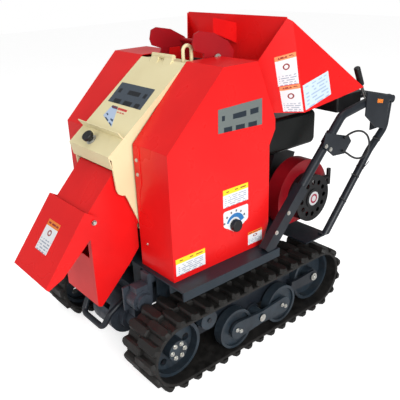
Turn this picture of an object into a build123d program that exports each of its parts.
"""Crawler wood chipper: rubber tracks, rotor housing, rear feed hopper, front discharge chute.

Frame: millimetres, +Z up, ground at Z = 0.  -Y is the front, where the discharge chute is.
+X is the machine's left side.  +Y is the rear, where the hopper and the handle are.
"""
import math
import os
from build123d import *

# ---------------------------------------------------------------- fits and sheet gauges
FIT = 0.08            # radial running clearance of a shaft in its bore
GAP = 0.3             # clearance between bodies that move past each other
SHEET = 2.5           # cover and hopper sheet
PLATE = 6.0           # structural plate

# ---------------------------------------------------------------- tracks
TRACK_CENTRE = 312.0  # X of each track's middle
TRACK_WIDTH = 180.0
LUG_HEIGHT = 18.0
BELT_THICK = 12.0
WHEEL_OUTER = 135.0   # radius over the lugs round the sprocket and the idler
SPROCKET_Y = -424.0
IDLER_Y = 281.0
LUG_COUNT = 35
LUG_LENGTH = 26.0
BOGIE_Y = -51.0
BOGIE_SPREAD = 119.0  # pivot to roller centre
ROLLER_X = (346.0, 382.0)
CARRIER_RADIUS = 34.7
CARRIER_Y = -298.0

# ---------------------------------------------------------------- chassis
BEAM_HALF = 385.0
DECK_TOP = 360.0
BEAM_DROP = 34.0
DECK_Y = (-404.0, 48.0)
RAIL_X = (90.0, 140.0)
POST_X = (150.0, 205.0)
POST_YS = (-240.0, 60.0)
POST_LENGTH = 60.0
FRAME_BEAM_X = (290.0, 334.0)
FRAME_BEAM_Z = (125.0, 185.0)
ENGINE_DECK_TOP = 334.0
ENGINE_DECK_X = (-150.0, 230.0)
ENGINE_DECK_Y = (48.0, 440.0)
PLATFORM_Y = (250.0, 384.0)
PLATFORM_TOP = 292.0
PLATFORM_HALF = 345.0

# ---------------------------------------------------------------- covers and rotor housing
COVER_HALF = 315.0
COVER_INNER = 130.0
COVER_FRONT = -387.0
COVER_REAR = 60.0
COVER_TOP = 1033.0
COVER_TOP_FRONT = -149.0
COVER_SHOULDER = 801.0
DIAL_SPOT = (-113.0, 484.0)
DIAL_STEM = 6.0
LID_HALF = 128.5
LID_SHEET = 3.0
LID_FRONT_Y = -481.0
LID_FRONT_Z = 775.7
LID_REAR_Y = -152.0
LID_REAR_Z = 1027.7
LID_FLANGE = 18.0
HOUSING_OUTER = 124.5
HINGE_Y = -148.0
HINGE_Z = 1040.0
HINGE_PIN = 4.0
ROTOR_Y = -250.0
ROTOR_Z = 760.0
DRUM_RADIUS = 128.0
DRUM_HALF = 108.0
KNIFE_TIP = 136.0
SCROLL_RADIUS = 146.0
ROTOR_SHAFT = 22.0
CHUTE_HALF = 108.0
CHUTE_SHEET = 3.0
FLAP_HALF = 123.0
FLAP_PIVOT = (-555.0, 572.0)

# ---------------------------------------------------------------- feed side
THROAT_HALF = 115.0
THROAT_FLOOR = 820.0
THROAT_TOP = 1000.0
HOPPER_WALL_Y = 183.0
HOPPER_TOP = 1154.0
HOPPER_WALL_HALF = 272.0
HOPPER_WALL_FOOT = 262.0  # half width of the front wall where it meets the neck sides
ARM_PIVOT = (-10.0, 1026.0)
ARM_X = (119.5, 125.5)
ARM_SHIELD = [(-52, 1042), (-108, 1062), (-116, 1084), (-108, 1116), (-84, 1124), (-20, 1112),
              (44, 1079), (72, 1044), (62, 1000), (0, 1000)]
HOOD_X = (-64.0, 23.0)
HOOD_FRONT_Y = 66.0
FEED_ROLLER = (70.0, 935.0)
FEED_CORE = 50.0
FEED_TIP = 64.0
FEED_HALF = 106.0

# ---------------------------------------------------------------- engine and drive
CRANK = (350.0, 440.0)
CRANK_RADIUS = 14.0
BELT_PLANE = (-190.0, -166.0)
ROTOR_PULLEY = 92.0
CRANK_PULLEY = 58.0
GROOVE = 10.0
SHROUD_RADIUS = 150.0
SHROUD_X = (170.0, 236.0)
RECOIL_RADIUS = 98.0
RECOIL_X = (236.0, 288.0)
STARTER_Z = CRANK[1] + 56
HEAD_TOP = (406.0, 587.0)
HEAD_LEAN = 0.35
TANK_X = (-90.0, 150.0)
TANK_Y = (228.0, 520.0)
TANK_Z = (612.0, 757.0)

# ---------------------------------------------------------------- handle
TUBE = 17.0
TUBE_WALL = 2.5
HANDLE_X = 345.0
BAR_Y = 753.0
BAR_Z = 790.0
BAR_RADIUS = 16.0
LEVER_PIVOT = (702.0, 707.0)
LEVER_X = (298.0, 312.0)
PIVOT_PLATE_X = (320.0, 324.8)
END_PLATE_X = (364.0, 368.0)
END_PLATE = [(554, 849), (692, 816), (711, 798), (706, 672), (631, 694), (553, 756)]

# Lengthwise shift that puts the middle of the overall box on the origin.
CENTRING = (0.0, -10.5, 0.0)

SIDES = {"left": 1, "right": -1}
os.makedirs("parts", exist_ok=True)


# ================================================================ drawing helpers
def save(piece, name):
    """Centre and label a finished piece, then write its STEP file."""
    placed = piece.part.moved(Location(CENTRING))
    placed.label = name
    export_step(placed, f"parts/{name}.step")


def span(side, low, high):
    """An X span, mirrored for the right side and kept in rising order."""
    return (low, high) if side > 0 else (-high, -low)


def block(x, y, z, mode=Mode.ADD):
    """A box between three (low, high) pairs."""
    middle = ((x[0] + x[1]) / 2, (y[0] + y[1]) / 2, (z[0] + z[1]) / 2)
    with Locations(middle):
        Box(x[1] - x[0], y[1] - y[0], z[1] - z[0], mode=mode)


def profile(points, x, mode=Mode.ADD):
    """A side outline of (Y, Z) points, carried across an X span."""
    with BuildSketch(Plane.YZ.offset(x[0])) as outline:
        with BuildLine():
            Polyline(*points, close=True)
        make_face()
    extrude(outline.sketch, amount=x[1] - x[0], mode=mode)


def disc(centre, radius, x, mode=Mode.ADD):
    """A cylinder along X about a (Y, Z) centre."""
    with BuildSketch(Plane.YZ.offset(x[0])) as outline:
        with Locations(centre):
            Circle(radius)
    extrude(outline.sketch, amount=x[1] - x[0], mode=mode)


def strap(start, start_radius, end, end_radius, mode=Mode.ADD):
    """The outline round two circles, closed by their outer tangents, in the current sketch."""
    with Locations(start):
        Circle(start_radius, mode=mode)
    with Locations(end):
        Circle(end_radius, mode=mode)
    heading = math.atan2(end[1] - start[1], end[0] - start[0])
    lean = math.acos((start_radius - end_radius) / math.dist(start, end))
    corners = []
    for (y, z), radius, turns in ((start, start_radius, (1, -1)), (end, end_radius, (-1, 1))):
        for turn in turns:
            angle = heading + turn * lean
            corners.append((y + radius * math.cos(angle), z + radius * math.sin(angle)))
    Polygon(*corners, align=None, mode=mode)


def link(start, start_radius, end, end_radius, x, mode=Mode.ADD):
    """A flat link: two round eyes joined by straight tangent sides."""
    with BuildSketch(Plane.YZ.offset(x[0])) as outline:
        strap(start, start_radius, end, end_radius)
    extrude(outline.sketch, amount=x[1] - x[0], mode=mode)


def panel(corners, thickness, mode=Mode.ADD):
    """A flat sheet with the given corners in space, thickened along its normal."""
    points = [Vector(*corner) for corner in corners]
    along = points[1] - points[0]
    normal = along.cross(points[-1] - points[0])
    plane = Plane(origin=points[0], x_dir=along, z_dir=normal)
    flat = [plane.to_local_coords(point) for point in points]
    with BuildSketch(plane) as outline:
        with BuildLine():
            Polyline(*[(point.X, point.Y) for point in flat], close=True)
        make_face()
    extrude(outline.sketch, amount=thickness, mode=mode)


def rod(points, radius, bends=None, wall=0, mode=Mode.ADD):
    """A round bar or tube along straight runs joined by tangent arcs."""
    with BuildLine() as route:
        if bends is None:
            Polyline(*points)
        else:
            FilletPolyline(*points, radius=bends)
    with BuildSketch(Plane(origin=route.line @ 0, z_dir=route.line % 0)) as section:
        Circle(radius)
        if wall:
            Circle(radius - wall, mode=Mode.SUBTRACT)
    sweep(section.sketch, path=route.line, mode=mode)


def flip(points):
    """The same corners on the other side, in the order that keeps the normal outward."""
    return [(-x, y, z) for x, y, z in reversed(points)]


# ================================================================ tracks
WHEEL_Z = WHEEL_OUTER
BELT_OUTER = WHEEL_OUTER - LUG_HEIGHT
BELT_INNER = BELT_OUTER - BELT_THICK
WHEEL_RADIUS = BELT_INNER - GAP
WHEELBASE = IDLER_Y - SPROCKET_Y
TRACK_MIDDLE_Y = (IDLER_Y + SPROCKET_Y) / 2
ROLLER_RADIUS = 76.7
ROLLER_Z = LUG_HEIGHT + BELT_THICK + GAP + ROLLER_RADIUS
CARRIER_Z = WHEEL_Z + BELT_INNER - GAP - CARRIER_RADIUS


def belt_station(distance):
    """Centre (Y, Z) of a lug and its tilt, a distance along the belt's outer face."""
    lug_middle = BELT_OUTER + LUG_HEIGHT / 2 - 0.5
    arc = math.pi * BELT_OUTER
    corner_drop = WHEEL_OUTER - math.sqrt(WHEEL_OUTER**2 - (LUG_LENGTH / 2) ** 2)
    if distance < WHEELBASE:
        return SPROCKET_Y + distance, WHEEL_Z - lug_middle, 0.0
    distance -= WHEELBASE
    if distance < arc:
        angle = -90 + 180 * distance / arc
        reach = lug_middle - corner_drop
        return (IDLER_Y + reach * math.cos(math.radians(angle)),
                WHEEL_Z + reach * math.sin(math.radians(angle)), angle + 90)
    distance -= arc
    if distance < WHEELBASE:
        return IDLER_Y - distance, WHEEL_Z + lug_middle, 0.0
    angle = 90 + 180 * (distance - WHEELBASE) / arc
    reach = lug_middle - corner_drop
    return (SPROCKET_Y + reach * math.cos(math.radians(angle)),
            WHEEL_Z + reach * math.sin(math.radians(angle)), angle + 90)


def make_track(name, side):
    """Endless rubber belt with its tread lugs."""
    middle = side * TRACK_CENTRE
    pitch = (2 * WHEELBASE + 2 * math.pi * BELT_OUTER) / LUG_COUNT
    with BuildPart() as track:
        with BuildSketch(Plane.YZ.offset(middle - TRACK_WIDTH / 2)):
            with Locations((TRACK_MIDDLE_Y, WHEEL_Z)):
                SlotCenterToCenter(WHEELBASE, 2 * BELT_OUTER)
                SlotCenterToCenter(WHEELBASE, 2 * BELT_INNER, mode=Mode.SUBTRACT)
        extrude(amount=TRACK_WIDTH)
        places = []
        for index in range(LUG_COUNT):
            y, z, tilt = belt_station((index + 0.5) * pitch)
            places.append(Location((middle, y, z), (tilt, 0, 0)))
        with Locations(*places):
            Box(TRACK_WIDTH, LUG_LENGTH, LUG_HEIGHT + 1)
    save(track, f"rubber_track_{name}")


def make_track_frame(name, side):
    """Box beam with the idler fork, the bogie pin and the carrier roller's bracket."""
    beam = span(side, *FRAME_BEAM_X)
    outer_face = FRAME_BEAM_X[1]
    fork_inner = span(side, 262, 272)
    fork_outer = span(side, 352, 362)
    with BuildPart() as frame:
        block(beam, (-310, 165), FRAME_BEAM_Z)
        block(span(side, 262, 362), (150, 168), (115, 160))
        for fork in (fork_inner, fork_outer):
            link((166, 137), 20, (IDLER_Y, WHEEL_Z), 26, fork)
        disc((IDLER_Y, WHEEL_Z), 15, span(side, 262, 366))
        disc((BOGIE_Y, ROLLER_Z), 34, span(side, 322, outer_face + 8))
        disc((BOGIE_Y, ROLLER_Z), 14, span(side, 322, 399))
        block(span(side, 322, outer_face), (CARRIER_Y - 18, CARRIER_Y + 18),
              (FRAME_BEAM_Z[1] - 5, CARRIER_Z + 16))
        disc((CARRIER_Y, CARRIER_Z), 8, span(side, 322, 386))
    save(frame, f"track_frame_{name}")


def make_sprocket(name, side):
    """Drive wheel: rim, web and hub, with its axle shaft into the transmission."""
    centre = (SPROCKET_Y, WHEEL_Z)
    with BuildPart() as sprocket:
        disc(centre, WHEEL_RADIUS, span(side, 272, 352))
        disc(centre, WHEEL_RADIUS - 12, span(side, 320, 352), mode=Mode.SUBTRACT)
        disc(centre, WHEEL_RADIUS - 12, span(side, 272, 304), mode=Mode.SUBTRACT)
        disc(centre, 38, span(side, 262, 366))
        with BuildSketch(Plane.YZ.offset(span(side, 304, 320)[0])):
            with Locations(centre):
                with PolarLocations(66, 6):
                    Circle(14)
        extrude(amount=16, mode=Mode.SUBTRACT)
        disc(centre, 20, span(side, 132, 262))
    save(sprocket, f"drive_sprocket_{name}")


def make_idler(name, side):
    """Rear idler wheel, free on the fork's pin."""
    centre = (IDLER_Y, WHEEL_Z)
    with BuildPart() as idler:
        disc(centre, WHEEL_RADIUS, span(side, 275, 349))
        disc(centre, WHEEL_RADIUS - 12, span(side, 318, 349), mode=Mode.SUBTRACT)
        disc(centre, WHEEL_RADIUS - 12, span(side, 275, 306), mode=Mode.SUBTRACT)
        disc(centre, 30, span(side, 273, 351))
        disc(centre, 15 + FIT, span(side, 270, 354), mode=Mode.SUBTRACT)
    save(idler, f"idler_wheel_{name}")


def make_carrier(name, side):
    """Small top roller that carries the upper run of the belt."""
    centre = (CARRIER_Y, CARRIER_Z)
    with BuildPart() as carrier:
        disc(centre, CARRIER_RADIUS, span(side, *ROLLER_X))
        disc(centre, 8 + GAP, span(side, 340, 390), mode=Mode.SUBTRACT)
    save(carrier, f"carrier_roller_{name}")


def make_bogie(name, side):
    """Rocking beam with its centre boss and the two roller pins."""
    pivot = (BOGIE_Y, ROLLER_Z)
    with BuildPart() as bogie:
        for way in (-1, 1):
            end = (BOGIE_Y + way * BOGIE_SPREAD, ROLLER_Z)
            link(pivot, 24, end, 34, span(side, 384, 394))
        disc(pivot, 25, span(side, 343, 394))
        for way in (-1, 1):
            end = (BOGIE_Y + way * BOGIE_SPREAD, ROLLER_Z)
            disc(end, 10, span(side, 344, 396))
        disc(pivot, 14 + FIT, span(side, 340, 400), mode=Mode.SUBTRACT)
    save(bogie, f"bogie_{name}")


def make_bogie_rollers(name, side):
    """The two large track rollers of one bogie."""
    for place, way in (("front", -1), ("rear", 1)):
        centre = (BOGIE_Y + way * BOGIE_SPREAD, ROLLER_Z)
        with BuildPart() as roller:
            disc(centre, ROLLER_RADIUS, span(side, *ROLLER_X))
            disc(centre, ROLLER_RADIUS - 10, span(side, 372, 383), mode=Mode.SUBTRACT)
            disc(centre, 26, span(side, *ROLLER_X))
            disc(centre, 10 + FIT, span(side, 340, 390), mode=Mode.SUBTRACT)
        save(roller, f"track_roller_{place}_{name}")


# ================================================================ chassis
def make_base_frame():
    """Front deck with its side channels, rails, posts and the raised engine deck."""
    beam_bottom = DECK_TOP - BEAM_DROP
    with BuildPart() as base:
        block((-BEAM_HALF, BEAM_HALF), DECK_Y, (DECK_TOP - PLATE, DECK_TOP))
        for side in SIDES.values():
            block(span(side, BEAM_HALF - PLATE, BEAM_HALF), DECK_Y, (beam_bottom, DECK_TOP))
            block(span(side, COVER_HALF - PLATE, COVER_HALF), DECK_Y, (beam_bottom, DECK_TOP))
            block(span(side, *RAIL_X), (DECK_Y[0], PLATFORM_Y[1] - PLATE),
                  (PLATFORM_TOP - 42, PLATFORM_TOP - PLATE))
            block(span(side, *RAIL_X), (DECK_Y[0], DECK_Y[1]),
                  (PLATFORM_TOP - PLATE, DECK_TOP - PLATE))
            for post_y in POST_YS:
                along = (post_y, post_y + POST_LENGTH)
                block(span(side, *POST_X), along, (FRAME_BEAM_Z[0], DECK_TOP - PLATE))
                block(span(side, POST_X[0], FRAME_BEAM_X[0]), along, FRAME_BEAM_Z)
        block(ENGINE_DECK_X, ENGINE_DECK_Y, (ENGINE_DECK_TOP - PLATE, ENGINE_DECK_TOP))
        for wall_y in (ENGINE_DECK_Y[0] + 20, PLATFORM_Y[0] - 30):
            block((-RAIL_X[1], RAIL_X[1]), (wall_y, wall_y + PLATE),
                  (PLATFORM_TOP - PLATE, ENGINE_DECK_TOP - PLATE))
    save(base, "base_frame")


def make_rear_platform():
    """Rear cross plate with a folded lip, where the rear struts are bolted."""
    with BuildPart() as platform:
        block((-PLATFORM_HALF, PLATFORM_HALF), PLATFORM_Y, (PLATFORM_TOP - PLATE, PLATFORM_TOP))
        block((-RAIL_X[0] + 2, RAIL_X[0] - 2), (PLATFORM_Y[1] - PLATE, PLATFORM_Y[1]),
              (PLATFORM_TOP - 42, PLATFORM_TOP))
    save(platform, "rear_platform")


def make_transmission():
    """Track gearbox between the sprockets, with an axle tube to each side."""
    centre = (SPROCKET_Y, WHEEL_Z)
    with BuildPart() as case:
        disc(centre, 78, (-62, 62))
        block((-52, 52), (SPROCKET_Y + 20, SPROCKET_Y + 150), (120, PLATFORM_TOP - 42))
        for side in SIDES.values():
            disc(centre, 48, span(side, 62, 96))
            disc(centre, 32, span(side, 96, 205))
        disc(centre, 20 + FIT, (-210, 210), mode=Mode.SUBTRACT)
        block((-40, 40), (SPROCKET_Y - 70, SPROCKET_Y + 70), (WHEEL_Z - 50, WHEEL_Z + 50),
              mode=Mode.SUBTRACT)
        for side in SIDES.values():
            block(span(side, 100, 140), (SPROCKET_Y - 20, SPROCKET_Y + 20),
                  (WHEEL_Z + 28, PLATFORM_TOP - 42))
    save(case, "transmission_case")


def make_hydraulic_motor():
    """Travel pump, its flange and relief block above the left axle tube."""
    centre = (SPROCKET_Y - 18, 262)
    with BuildPart() as motor:
        disc(centre, 40, (150, 202))
        disc(centre, 30, (202, 217))
        block((142, 150), (centre[0] - 46, centre[0] + 46), (centre[1] - 46, centre[1] + 46))
        block((160, 200), (centre[0] - 24, centre[0] + 24), (centre[1] + 26, centre[1] + 56))
        block((158, 198), (centre[0] + 26, DECK_Y[0] + 60), (DECK_TOP - 44, DECK_TOP - PLATE))
        block((158, 198), (centre[0] + 26, centre[0] + 44), (centre[1], DECK_TOP - 30))
    save(motor, "travel_pump")


def make_front_guard():
    """Round-nosed bar that shields the gearbox in front."""
    with BuildPart() as guard:
        rod([(-78, -400, 236), (-78, -512, 176), (-70, -540, 128), (70, -540, 128),
             (78, -512, 176), (78, -400, 236)], 11, bends=[28, 24, 24, 28])
        for side in SIDES.values():
            block(span(side, 66, 99), (-412, -388), (236, 250))
    save(guard, "front_guard")


# ================================================================ rotor housing
LID_SLOPE = (LID_REAR_Z - LID_FRONT_Z) / (LID_REAR_Y - LID_FRONT_Y)
LID_ANGLE = math.atan(LID_SLOPE)
LID_LENGTH = math.hypot(LID_REAR_Y - LID_FRONT_Y, LID_REAR_Z - LID_FRONT_Z)
LID_PLANE = Plane(origin=(0, LID_REAR_Y, LID_REAR_Z), x_dir=(1, 0, 0),
                  z_dir=(0, -math.sin(LID_ANGLE), math.cos(LID_ANGLE)))
HOUSING_DROP = (LID_SHEET + 1.2) / math.cos(LID_ANGLE)
HOUSING_ROOF = LID_REAR_Z - HOUSING_DROP
KNOB_SPOT = (-20.0, 36 - LID_LENGTH)


def slope_z(y):
    """Height of the lid's outer face above a Y on the front slope."""
    return LID_REAR_Z + LID_SLOPE * (y - LID_REAR_Y)


def make_chipper_housing():
    """Two side plates, the rear scroll under the rotor, the outlet floor and a short roof."""
    outline = [
        (LID_REAR_Y + 3, HOUSING_ROOF), (LID_FRONT_Y + 12, slope_z(LID_FRONT_Y + 12) - HOUSING_DROP),
        (-464, 711), (-459, 657), (-453, 641), (-440, 633), (-427, 630), (-378, 507),
        (-378, DECK_TOP), (-60, DECK_TOP), (-60, 780), (-85, 800), (-85, HOUSING_ROOF),
    ]
    inner = HOUSING_OUTER - PLATE
    with BuildPart() as housing:
        for side in SIDES.values():
            profile(outline, span(side, inner, HOUSING_OUTER))
        with BuildSketch(Plane.YZ.offset(-inner)):
            with Locations((ROTOR_Y, ROTOR_Z)):
                Circle(SCROLL_RADIUS + 4)
                Circle(SCROLL_RADIUS, mode=Mode.SUBTRACT)
            with BuildLine():
                Polyline((ROTOR_Y, ROTOR_Z - 200), (ROTOR_Y + 200, ROTOR_Z - 200),
                         (ROTOR_Y + 200, ROTOR_Z + 44), (ROTOR_Y, ROTOR_Z), close=True)
            make_face(mode=Mode.INTERSECT)
        extrude(amount=2 * inner)
        bottom = ROTOR_Z - SCROLL_RADIUS
        profile([(ROTOR_Y + 1, bottom), (ROTOR_Y + 1, bottom - 4), (-376, 486), (-376, 490)],
                (-inner, inner))
        block((-inner, inner), (HINGE_Y + 8, -86), (HOUSING_ROOF - 4, HOUSING_ROOF))
        block((-16, 16), (HINGE_Y + 1, HINGE_Y + 20), (HOUSING_ROOF - 4, HINGE_Z))
        disc((HINGE_Y, HINGE_Z), 8, (-16, 16))
        disc((HINGE_Y, HINGE_Z), HINGE_PIN, (-60, 60))
        disc((ROTOR_Y, ROTOR_Z), ROTOR_SHAFT + 4, (-150, 150), mode=Mode.SUBTRACT)
    save(housing, "chipper_housing")


def make_rotor_bearings():
    """Flanged bearing housings bolted outside the side plates."""
    with BuildPart() as bearings:
        for side in SIDES.values():
            disc((ROTOR_Y, ROTOR_Z), 50, span(side, HOUSING_OUTER, HOUSING_OUTER + 10))
            disc((ROTOR_Y, ROTOR_Z), 38, span(side, HOUSING_OUTER + 10, HOUSING_OUTER + 32))
            disc((ROTOR_Y, ROTOR_Z), ROTOR_SHAFT + FIT, span(side, 110, 170), mode=Mode.SUBTRACT)
    save(bearings, "rotor_bearings")


def make_anvil():
    """Bed knife at the end of the feed floor."""
    with BuildPart() as anvil:
        profile([(-125.5, THROAT_FLOOR), (-80, THROAT_FLOOR + 3), (-80, THROAT_FLOOR - 12),
                 (-107, THROAT_FLOOR - 12)], (-THROAT_HALF + 3, THROAT_HALF - 3))
    save(anvil, "bed_knife")


def make_rotor():
    """Shaft with its belt pulley, and the drum with its four knives."""
    centre = (ROTOR_Y, ROTOR_Z)
    with BuildPart() as wheel:
        pulley(ROTOR_PULLEY, ROTOR_SHAFT - 1, GROOVE)
    with BuildPart() as shaft:
        add(wheel.part.moved(Location((0, *centre))))
        disc(centre, ROTOR_SHAFT, (-200, 160))
    save(shaft, "rotor_shaft")

    with BuildPart() as drum:
        disc(centre, DRUM_RADIUS, (-DRUM_HALF, DRUM_HALF))
        disc(centre, ROTOR_SHAFT, (-DRUM_HALF, DRUM_HALF), mode=Mode.SUBTRACT)
        places = [Location((0, ROTOR_Y, ROTOR_Z), (index * 90 + 20, 0, 0)) for index in range(4)]
        with Locations(*places):
            with Locations((0, 8, DRUM_RADIUS - 6)):
                Box(2 * DRUM_HALF, 34, 24, mode=Mode.SUBTRACT)
    save(drum, "rotor_drum")

    with BuildPart() as knives:
        with Locations(*places):
            with Locations((0, -4, (KNIFE_TIP + DRUM_RADIUS - 18) / 2)):
                Box(2 * DRUM_HALF - 4, 9.5, KNIFE_TIP - DRUM_RADIUS + 18)
    save(knives, "rotor_knives")


def pulley(radius, bore, groove):
    """A V pulley of two flanges over a groove, in the belt plane."""
    low, high = BELT_PLANE
    middle = (low + high) / 2
    with BuildSketch(Plane.XZ) as half:
        with BuildLine():
            Polyline((low, bore), (high, bore), (high, radius), (middle + 9, radius),
                     (middle + 5, radius - groove), (middle - 5, radius - groove),
                     (middle - 9, radius), (low, radius), close=True)
        make_face()
    revolve(half.sketch, axis=Axis.X)


def make_crankshaft():
    """Crankshaft with the smaller belt pulley and the flywheel."""
    with BuildPart() as small:
        pulley(CRANK_PULLEY, CRANK_RADIUS - 1, GROOVE)
    with BuildPart() as crankshaft:
        add(small.part.moved(Location((0, *CRANK))))
        disc(CRANK, CRANK_RADIUS, (-194, 238))
        disc(CRANK, 92, (186, 214))
        disc(CRANK, 34, (236.6, 262))
    save(crankshaft, "crankshaft")


def make_drive_belt():
    """V belt from the crankshaft to the rotor, an open loop just clear of both grooves."""
    middle = (BELT_PLANE[0] + BELT_PLANE[1]) / 2
    clear = 0.6
    with BuildPart() as belt:
        with BuildSketch(Plane.YZ.offset(middle - 4.2)):
            strap((ROTOR_Y, ROTOR_Z), ROTOR_PULLEY - 1, CRANK, CRANK_PULLEY - 1)
            strap((ROTOR_Y, ROTOR_Z), ROTOR_PULLEY - GROOVE + clear,
                  CRANK, CRANK_PULLEY - GROOVE + clear, mode=Mode.SUBTRACT)
        extrude(amount=8.4)
    save(belt, "drive_belt")


# ================================================================ lid, covers, chute
def make_lid():
    """Hinged cover over the rotor, with side flanges, front lip and a stiffening fin."""
    inner = LID_HALF - LID_SHEET
    with BuildPart() as lid:
        with BuildSketch(LID_PLANE):
            with Locations((0, -LID_LENGTH / 2)):
                Rectangle(2 * LID_HALF, LID_LENGTH)
        extrude(amount=-LID_SHEET)
        with BuildSketch(LID_PLANE):
            for side in SIDES.values():
                with Locations((side * (inner + LID_SHEET / 2), -LID_LENGTH / 2)):
                    Rectangle(LID_SHEET, LID_LENGTH)
        extrude(amount=-LID_FLANGE)
        profile([(LID_FRONT_Y, LID_FRONT_Z), (LID_FRONT_Y + 3, LID_FRONT_Z),
                 (LID_FRONT_Y + 14, LID_FRONT_Z - 46), (LID_FRONT_Y + 11, LID_FRONT_Z - 46)],
                (-LID_HALF, LID_HALF))
        with BuildSketch(LID_PLANE):
            with Locations((0, -LID_LENGTH + 78)):
                Rectangle(2 * LID_HALF, LID_SHEET)
        extrude(amount=30)
        for side in SIDES.values():
            disc((HINGE_Y, HINGE_Z), 8, span(side, 17, 60))
            profile([(HINGE_Y - 7, HINGE_Z - 3), (HINGE_Y + 1, HINGE_Z - 7), (HINGE_Y - 4, HINGE_Z - 15),
                     (HINGE_Y - 22, slope_z(HINGE_Y - 22) - 1)], span(side, 17, 60))
        disc((HINGE_Y, HINGE_Z), HINGE_PIN + FIT, (-62, 62), mode=Mode.SUBTRACT)
        with BuildSketch(LID_PLANE):
            with Locations(KNOB_SPOT):
                Circle(5 + FIT)
        extrude(amount=-LID_SHEET * 2, mode=Mode.SUBTRACT)
    save(lid, "rotor_lid")


def make_lid_knob():
    """Clamp knob with its threaded stud through the lid."""
    with BuildPart() as knob:
        with BuildSketch(LID_PLANE.offset(12)):
            with Locations(KNOB_SPOT):
                Circle(20)
        extrude(amount=17)
        fillet(knob.edges().filter_by(GeomType.CIRCLE), 5)
        with BuildSketch(LID_PLANE.offset(GAP)):
            with Locations(KNOB_SPOT):
                Circle(10)
        extrude(amount=12 - GAP)
        with BuildSketch(LID_PLANE.offset(-16)):
            with Locations(KNOB_SPOT):
                Circle(5)
        extrude(amount=17)
    save(knob, "lid_knob")


def cover_outline():
    """Side outline of the engine-side and drive-side covers."""
    return [(COVER_FRONT, DECK_TOP), (COVER_FRONT, COVER_SHOULDER), (COVER_TOP_FRONT, COVER_TOP),
            (0, COVER_TOP), (88, 824), (88, 788), (COVER_REAR, 735), (COVER_REAR, 437), (30, DECK_TOP)]


def make_side_cover(name, side):
    """Deep painted cover, open towards the rotor housing and over the deck."""
    with BuildPart() as cover:
        with BuildSketch(Plane.YZ.offset(span(side, COVER_INNER, COVER_HALF)[0])):
            with BuildLine():
                Polyline(*cover_outline(), close=True)
            make_face()
        extrude(amount=COVER_HALF - COVER_INNER)
        with BuildSketch(Plane.YZ.offset(span(side, COVER_INNER - 1, COVER_HALF - SHEET)[0])):
            with BuildLine():
                Polyline(*cover_outline(), close=True)
            make_face()
            offset(amount=-SHEET, kind=Kind.INTERSECTION)
        extrude(amount=COVER_HALF - SHEET - COVER_INNER + 1, mode=Mode.SUBTRACT)
        block(span(side, COVER_INNER - 1, COVER_HALF - SHEET),
              (COVER_FRONT + SHEET, 30 - 1), (DECK_TOP - 1, DECK_TOP + SHEET + 1), mode=Mode.SUBTRACT)
        if side < 0:
            block((-208, -148), (COVER_REAR - 6, COVER_REAR + 6), (505, 700), mode=Mode.SUBTRACT)
        else:
            disc(DIAL_SPOT, DIAL_STEM + FIT, (COVER_HALF - 9, COVER_HALF + 1), mode=Mode.SUBTRACT)
        with BuildSketch(Plane.XZ.offset(-COVER_FRONT)):
            with BuildLine():
                Polyline((side * 132, COVER_SHOULDER - 4), (side * 166, COVER_SHOULDER - 4),
                         (side * 166, 668), (side * 152, 640), (side * 136, 520), (side * 132, 520),
                         close=True)
            make_face()
        extrude(amount=2)
    save(cover, f"{name}_side_cover")


def make_chute():
    """Discharge duct below the rotor, open to the rotor housing and in front behind the flap."""
    walls = [(-455, 716), (-563, 603), (-566, 600), (-566, 250), (-552, 243), (-425, 366),
             (-382, 415), (-382, 716)]
    hollow = [(-454, 711.5), (-561, 599.5), (-563, 597), (-563, 252), (-552, 247.2), (-427, 368.5),
              (-386, 416), (-360, 416), (-360, 711.5)]
    inner = CHUTE_HALF - CHUTE_SHEET
    with BuildPart() as chute:
        profile(walls, (-CHUTE_HALF, CHUTE_HALF))
        profile(hollow, (-inner, inner), mode=Mode.SUBTRACT)
        block((-86, 86), (-570, -560), (430, 585), mode=Mode.SUBTRACT)
        for side in SIDES.values():
            block(span(side, CHUTE_HALF - 1, HOUSING_OUTER - PLATE), (-390, -382), (512, 640))
            disc(FLAP_PIVOT, 8, span(side, CHUTE_HALF - 1, FLAP_HALF + 5))
    save(chute, "discharge_chute")


def make_flap():
    """Deflector flap: a three-sided channel that swings on two bolts."""
    outline = [(-582, 614), (-748, 400), (-740, 390), (-684, 416), (-580, 510), (-536, 556),
               (-533, 578), (-553, 596)]
    hollow = [(-578.8, 614), (-743.5, 401.5), (-735, 378), (-640, 378), (-500, 500), (-500, 640),
              (-560, 640)]
    with BuildPart() as flap:
        profile(outline, (-FLAP_HALF, FLAP_HALF))
        profile(hollow, (-FLAP_HALF + SHEET, FLAP_HALF - SHEET), mode=Mode.SUBTRACT)
        disc(FLAP_PIVOT, 8 + FIT, (-FLAP_HALF - 1, FLAP_HALF + 1), mode=Mode.SUBTRACT)
    save(flap, "chute_flap")


# ================================================================ feed side
NECK = [(200, 120, 1010), (HOPPER_WALL_HALF, HOPPER_WALL_Y, 1150), (286, 198, 1140),
        (315, 246, 818), (200, 131, 818)]
WING = [(286, 198, 1140), (345, 560, 866), (315, 246, 818)]
CHEEK = [(112, 120, 1008), (200, 120, 1010), (200, 131, 818), (112, 131, 818)]


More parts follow.
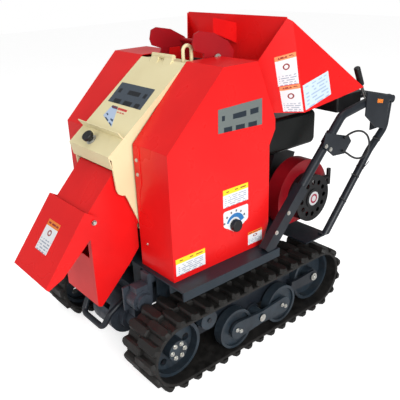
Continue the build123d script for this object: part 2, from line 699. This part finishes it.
def make_hopper():
    """Folded hopper: front wall, flared neck sides, triangular wings and a rising tray."""
    corner = 12
    with BuildPart() as hopper:
        with BuildSketch(Plane.XZ.offset(-HOPPER_WALL_Y)):
            with BuildLine():
                Polyline((-HOPPER_WALL_FOOT, 992), (HOPPER_WALL_FOOT, 992),
                         (HOPPER_WALL_HALF, HOPPER_TOP),
                         (-HOPPER_WALL_HALF + corner, HOPPER_TOP),
                         (-HOPPER_WALL_HALF, HOPPER_TOP - corner), close=True)
            make_face()
        extrude(amount=-SHEET)
        for side in SIDES.values():
            for shape in (NECK, WING, CHEEK):
                panel(shape if side > 0 else flip(shape), SHEET)
        panel([(315, 246, 818), (345, 560, 866), (-345, 560, 866), (-315, 246, 818)], SHEET)
        panel([(200, 131, 818), (315, 246, 818), (-315, 246, 818), (-200, 131, 818)], SHEET)
    save(hopper, "feed_hopper")


def make_throat():
    """Feed duct from the hopper to the rotor, with lugs for the roller arms' pivot."""
    inner = THROAT_HALF - 3
    outline = [(-84, THROAT_FLOOR), (130.6, THROAT_FLOOR), (120.2, THROAT_TOP), (20, THROAT_TOP),
               (14, ARM_PIVOT[1] + 20), (-34, ARM_PIVOT[1] + 20), (-40, THROAT_TOP), (-84, THROAT_TOP)]
    with BuildPart() as throat:
        for side in SIDES.values():
            profile(outline, span(side, inner, THROAT_HALF))
            disc(ARM_PIVOT, 9, span(side, inner, ARM_X[1] + 3))
            block(span(side, inner, HOUSING_OUTER), (-85, -81), (THROAT_FLOOR, THROAT_TOP))
            with BuildSketch(Plane.YZ.offset(span(side, inner - 1, THROAT_HALF + 1)[0])):
                with BuildLine():
                    Polyline((44, 906), (84, 906), (140, 960), (140, 1010), (84, 1010), close=True)
                make_face()
            extrude(amount=THROAT_HALF - inner + 2, mode=Mode.SUBTRACT)
        block((-inner, inner), (-80, 130), (THROAT_FLOOR, THROAT_FLOOR + 3))
        block((-inner, inner), (-84, -60), (THROAT_TOP - 3, THROAT_TOP))
    save(throat, "feed_throat")


def make_hood():
    """Deflector over the feed roller, open below, fixed to the hopper's front wall."""
    back = HOPPER_WALL_Y - 0.4
    front = HOOD_FRONT_Y
    with BuildPart() as hood:
        profile([(front, 1098), (front, 1152), (back, 1124), (back, 1050)], HOOD_X)
        profile([(front + SHEET, 1090), (front + SHEET, 1152 - SHEET), (back + 5, 1124 - SHEET),
                 (back + 5, 1040)], (HOOD_X[0] + SHEET, HOOD_X[1] - SHEET), mode=Mode.SUBTRACT)
    save(hood, "roller_guard")


def make_lifting_eye():
    """Round-bar eye on the housing roof."""
    y_low, y_high = -128.0, -92.0
    crown = HOUSING_ROOF + 55
    with BuildPart() as eye:
        rod([(86, y_low, HOUSING_ROOF), (86, y_low, crown), (86, y_high, crown),
             (86, y_high, HOUSING_ROOF)], 6, bends=17)
    save(eye, "lifting_eye")


def make_feed_arm():
    """Swing arms on both sides of the throat, with the roller's stub bearings."""
    with BuildPart() as arm:
        for side in SIDES.values():
            link(ARM_PIVOT, 60, FEED_ROLLER, 28, span(side, *ARM_X))
            profile(ARM_SHIELD, span(side, *ARM_X))
            disc(ARM_PIVOT, 9 + FIT, span(side, 110, 135), mode=Mode.SUBTRACT)
            disc(FEED_ROLLER, 12 + FIT, span(side, 110, 135), mode=Mode.SUBTRACT)
        rod([(-ARM_X[0], 30, 1068), (ARM_X[0], 30, 1068)], 8)
    save(arm, "feed_arm")


def make_feed_roller():
    """Toothed feed roller with its shaft."""
    with BuildPart() as roller:
        disc(FEED_ROLLER, FEED_CORE, (-FEED_HALF, FEED_HALF))
        disc(FEED_ROLLER, 12, (-128.5, 128.5))
        places = []
        for index in range(8):
            places.append(Location((0, FEED_ROLLER[0], FEED_ROLLER[1]), (index * 45, 0, 0)))
        with Locations(*places):
            with Locations((0, 0, (FEED_CORE + FEED_TIP) / 2 - 2)):
                Box(2 * FEED_HALF, 6, FEED_TIP - FEED_CORE + 4)
    save(roller, "feed_roller")


# ================================================================ engine
def make_engine_block():
    """Crankcase and inclined cylinder on the engine deck."""
    with BuildPart() as engine:
        block((-130, 168), (250, 435), (ENGINE_DECK_TOP, 500))
        fillet(engine.edges().filter_by(Axis.X), 22)
        head = Plane(origin=(20, *HEAD_TOP), x_dir=(1, 0, 0), z_dir=(0, HEAD_LEAN, 1))
        with BuildSketch(head):
            Rectangle(130, 130)
        extrude(amount=-140)
        disc(CRANK, CRANK_RADIUS + FIT, (-200, 250), mode=Mode.SUBTRACT)
        block((-60, 110), (290, 410), (390, 490), mode=Mode.SUBTRACT)
    save(engine, "engine_block")


def make_shroud():
    """Red blower shroud round the flywheel."""
    bottom = ENGINE_DECK_TOP
    with BuildPart() as shroud:
        with BuildSketch(Plane.YZ.offset(SHROUD_X[0])):
            with Locations(CRANK):
                Circle(SHROUD_RADIUS)
            with BuildLine():
                Polyline((CRANK[0] - 200, bottom), (CRANK[0] + 200, bottom),
                         (CRANK[0] + 200, CRANK[1] + 200), (CRANK[0] - 200, CRANK[1] + 200), close=True)
            make_face(mode=Mode.INTERSECT)
        extrude(amount=SHROUD_X[1] - SHROUD_X[0])
        with BuildSketch(Plane.YZ.offset(SHROUD_X[0] - 1)):
            with Locations(CRANK):
                Circle(SHROUD_RADIUS - 4)
            with BuildLine():
                Polyline((CRANK[0] - 200, bottom + 4), (CRANK[0] + 200, bottom + 4),
                         (CRANK[0] + 200, CRANK[1] + 200), (CRANK[0] - 200, CRANK[1] + 200), close=True)
            make_face(mode=Mode.INTERSECT)
        extrude(amount=SHROUD_X[1] - SHROUD_X[0] - 3, mode=Mode.SUBTRACT)
        disc(CRANK, RECOIL_RADIUS - 8, (SHROUD_X[1] - 10, SHROUD_X[1] + 1), mode=Mode.SUBTRACT)
    save(shroud, "engine_shroud")


def make_recoil():
    """Black recoil starter housing with its badge disc, and the pull grip."""
    with BuildPart() as recoil:
        disc(CRANK, RECOIL_RADIUS, RECOIL_X)
        disc(CRANK, RECOIL_RADIUS - 3, (RECOIL_X[0] - 1, RECOIL_X[1] - 3), mode=Mode.SUBTRACT)
        disc(CRANK, 40, (RECOIL_X[1] - 1, RECOIL_X[1] + 4))
        with BuildSketch(Plane.YZ.offset(RECOIL_X[1] - 5)):
            with Locations(CRANK):
                with PolarLocations(68, 12):
                    Circle(10)
        extrude(amount=10, mode=Mode.SUBTRACT)
        rod([(262, CRANK[0] + 70, STARTER_Z), (262, CRANK[0] + 112, STARTER_Z)], 9)
        with BuildSketch(Plane.XZ.offset(-CRANK[0] - 60)):
            with Locations((262, STARTER_Z)):
                Circle(3)
        extrude(amount=-60, mode=Mode.SUBTRACT)
    save(recoil, "recoil_housing")

    with BuildPart() as grip:
        rod([(262, CRANK[0] - 20, STARTER_Z), (262, CRANK[0] + 116, STARTER_Z)], 2)
        rod([(262, CRANK[0] + 113, STARTER_Z), (262, CRANK[0] + 123, STARTER_Z)], 8)
        rod([(262, CRANK[0] + 128, STARTER_Z - 34), (262, CRANK[0] + 128, STARTER_Z + 34)], 9)
    save(grip, "starter_grip")


def make_tank():
    """Moulded fuel tank, its filler neck and the screw cap."""
    with BuildPart() as tank:
        block(TANK_X, TANK_Y, TANK_Z)
        fillet(tank.edges().filter_by(Axis.X), 26)
        fillet(tank.edges().group_by(Axis.X)[-1], 14)
        for stay_y in (350, 430):
            head_z = HEAD_TOP[1] - HEAD_LEAN * (stay_y - HEAD_TOP[0])
            block((-20, 60), (stay_y, stay_y + 15), (head_z + 0.1, TANK_Z[0]))
    save(tank, "fuel_tank")

    cap_spot = (30, 330)
    with BuildPart() as cap:
        with BuildSketch(Plane.XY.offset(TANK_Z[1] + GAP)):
            with Locations(cap_spot):
                Circle(30)
        extrude(amount=22)
        fillet(cap.edges().group_by(Axis.Z)[-1], 5)
    save(cap, "fuel_cap")


def make_muffler():
    """Exhaust box on the far side of the cylinder, with its tail pipe."""
    with BuildPart() as muffler:
        block((-135, -48), (440, 500), (430, 560))
        fillet(muffler.edges().filter_by(Axis.X), 18)
        rod([(-100, 495, 470), (-100, 530, 470)], 12)
        block((-120, -60), (435, 445), (440, 490))
    save(muffler, "muffler")


def make_belt_guard():
    """Closed guard over the belt between the drive-side cover and the engine."""
    outline = [(COVER_REAR + 0.5, 700), (COVER_REAR + 0.5, 500), (330, 366), (420, 366), (430, 470),
               (400, 520)]
    inside = [(COVER_REAR - 5, 697), (COVER_REAR - 5, 503), (331, 369.5), (417, 369.5), (426.5, 469),
              (399, 516.5)]
    with BuildPart() as guard:
        profile(outline, (-212, -144))
        profile(inside, (-209.5, -146.5), mode=Mode.SUBTRACT)
        disc(CRANK, CRANK_RADIUS + 3, (-150, -140), mode=Mode.SUBTRACT)
        block((-212, -190), (400, 420), (ENGINE_DECK_TOP - PLATE, 367))
    save(guard, "belt_guard")


# ================================================================ handle and controls
def along_tube(start, end, share):
    """A point part of the way from start to end."""
    return tuple(a + (b - a) * share for a, b in zip(start, end))


def front_strut(side):
    """Foot, bend, knee and end of the front strut's centre line."""
    return [(side * 365, -8, DECK_TOP), (side * 350, 423, 781), (side * 346, 588, 803),
            (side * HANDLE_X, BAR_Y - 6, BAR_Z + 3)]


def make_handle(name, side):
    """Front strut of channel and tube, and the cranked rear strut."""
    foot, bend, knee, end = front_strut(side)
    joint = along_tube(foot, bend, 0.46)
    direction = Vector(*bend) - Vector(*foot)
    with BuildPart() as handle:
        with BuildSketch(Plane(origin=foot, x_dir=(1, 0, 0), z_dir=direction)):
            Rectangle(34, 46)
            Rectangle(28, 40, mode=Mode.SUBTRACT)
        extrude(amount=(Vector(*joint) - Vector(*foot)).length)
        block((foot[0] - 40, foot[0] + 40), (foot[1] - 60, foot[1] + 60), (DECK_TOP - 60, DECK_TOP),
              mode=Mode.SUBTRACT)
        rod([joint, bend, knee, end], TUBE, bends=[60, 200], wall=TUBE_WALL)
        disc((BAR_Y, BAR_Z), BAR_RADIUS, span(side, 300, 380), mode=Mode.SUBTRACT)
    save(handle, f"handle_strut_{name}")

    with BuildPart() as rear:
        rod([(side * 340, 363, PLATFORM_TOP - 15), (side * 340, 640, 590), (side * 340, 738, 668),
             (side * 340, BAR_Y, BAR_Z - 6)], 15, bends=[90, 60], wall=TUBE_WALL)
        rod([knee, end], TUBE, mode=Mode.SUBTRACT)
        disc((BAR_Y, BAR_Z), BAR_RADIUS, span(side, 300, 380), mode=Mode.SUBTRACT)
        block(span(side, 300, 380), (300, 440), (PLATFORM_TOP - 40, PLATFORM_TOP), mode=Mode.SUBTRACT)
        block(span(side, 322, 345), (350, 384), (PLATFORM_TOP, PLATFORM_TOP + 5))
    save(rear, f"rear_strut_{name}")


def make_crossbar():
    """Cross bar between the two struts, with its end caps."""
    with BuildPart() as bar:
        rod([(-360, BAR_Y, BAR_Z), (360, BAR_Y, BAR_Z)], BAR_RADIUS)
    save(bar, "handle_crossbar")


def make_handle_plates():
    """Lever side plate with its pin, the strut's end plate and the cable bracket."""
    low, high = PIVOT_PLATE_X
    foot, bend = front_strut(1)[:2]
    with BuildPart() as plates:
        rod([along_tube(foot, bend, 0.78), along_tube(foot, bend, 0.86)], TUBE + 4, wall=4)
        profile([(660, 668), (756, 668), (756, 772), (700, 772), (660, 740)], (low, high))
        disc(LEVER_PIVOT, 6, (LEVER_X[0] - 3, low + 1))
        profile([(286, 690), (296, 742), (440, 700), (458, 676), (420, 634), (350, 640)], (372, 376))
        profile(END_PLATE, END_PLATE_X)
    save(plates, "handle_plates")


def make_lever():
    """Travel clutch lever and its moulded grip."""
    top = (561, 938)
    mid = (600, 862)
    x = (LEVER_X[0] + LEVER_X[1]) / 2
    with BuildPart() as lever:
        disc(LEVER_PIVOT, 14, LEVER_X)
        disc(LEVER_PIVOT, 6 + FIT, (LEVER_X[0] - 1, LEVER_X[1] + 1), mode=Mode.SUBTRACT)
        start = along_tube((x, *LEVER_PIVOT), (x, *mid), 0.06)
        rod([start, (x, *mid)], 6)
    save(lever, "clutch_lever")
    with BuildPart() as grip:
        rod([along_tube((x, *mid), (x, *top), 0.008), (x, *top)], 13)
        fillet(grip.edges().filter_by(GeomType.CIRCLE), 6)
    save(grip, "lever_grip")


def make_control_box():
    """Switch box below the tray's rear end, with a cranked stay to the cross bar."""
    with BuildPart() as box:
        block((150, 285), (480, 640), (768, 832))
        fillet(box.edges().filter_by(Axis.Z), 10)
        block((190, 240), (640, BAR_Y - BAR_RADIUS), (784, 796))
    save(box, "control_box")


def make_speed_dial():
    """Feed speed dial on the left cover, kept in by a collar behind the sheet."""
    with BuildPart() as dial:
        disc(DIAL_SPOT, 22, (COVER_HALF + GAP, COVER_HALF + 20))
        fillet(dial.edges().filter_by(GeomType.CIRCLE), 3)
        disc(DIAL_SPOT, DIAL_STEM, (COVER_HALF - 14, COVER_HALF + 2))
        disc(DIAL_SPOT, 2 * DIAL_STEM, (COVER_HALF - 14, COVER_HALF - SHEET - GAP))
    save(dial, "speed_dial")


def cable_bends(points):
    """For each inner point of a cable's route, the largest arc its two runs allow."""
    bends = []
    for before, here, after in zip(points, points[1:], points[2:]):
        turn = (Vector(*here) - Vector(*before)).get_angle(Vector(*after) - Vector(*here))
        run = min(math.dist(before, here), math.dist(here, after))
        bends.append(0.45 * run / math.tan(math.radians(turn) / 2))
    return bends


def make_cable(name, points, radius):
    """A control cable along its route, with its length and tightest arc printed."""
    bends = cable_bends(points)
    with BuildPart() as cable:
        rod(points, radius, bends=bends)
    length = cable.part.volume / (math.pi * radius**2)
    print(f"{name}: length {length:.0f}, arcs {min(bends):.0f} and wider")
    save(cable, name)


def make_cables():
    """The loop of control cable that leaves and rejoins the bracket on the left strut."""
    x = 380.2
    route = [(398, 652), (430, 633), (462, 611), (500, 594), (540, 591), (570, 608), (579, 640),
             (562, 676), (526, 702), (482, 713), (440, 711), (404, 700)]
    make_cable("bracket_cable", [(x, y, z) for y, z in route], 4)


# ================================================================ build everything
for side_name, side_sign in SIDES.items():
    make_track(side_name, side_sign)
    make_track_frame(side_name, side_sign)
    make_sprocket(side_name, side_sign)
    make_idler(side_name, side_sign)
    make_carrier(side_name, side_sign)
    make_bogie(side_name, side_sign)
    make_bogie_rollers(side_name, side_sign)
    make_side_cover(side_name, side_sign)
    make_handle(side_name, side_sign)

make_base_frame()
make_rear_platform()
make_transmission()
make_hydraulic_motor()
make_front_guard()
make_chipper_housing()
make_rotor_bearings()
make_anvil()
make_rotor()
make_crankshaft()
make_drive_belt()
make_lid()
make_lid_knob()
make_chute()
make_flap()
make_hopper()
make_throat()
make_hood()
make_lifting_eye()
make_feed_arm()
make_feed_roller()
make_engine_block()
make_shroud()
make_recoil()
make_tank()
make_muffler()
make_belt_guard()
make_crossbar()
make_handle_plates()
make_lever()
make_control_box()
make_speed_dial()
make_cables()
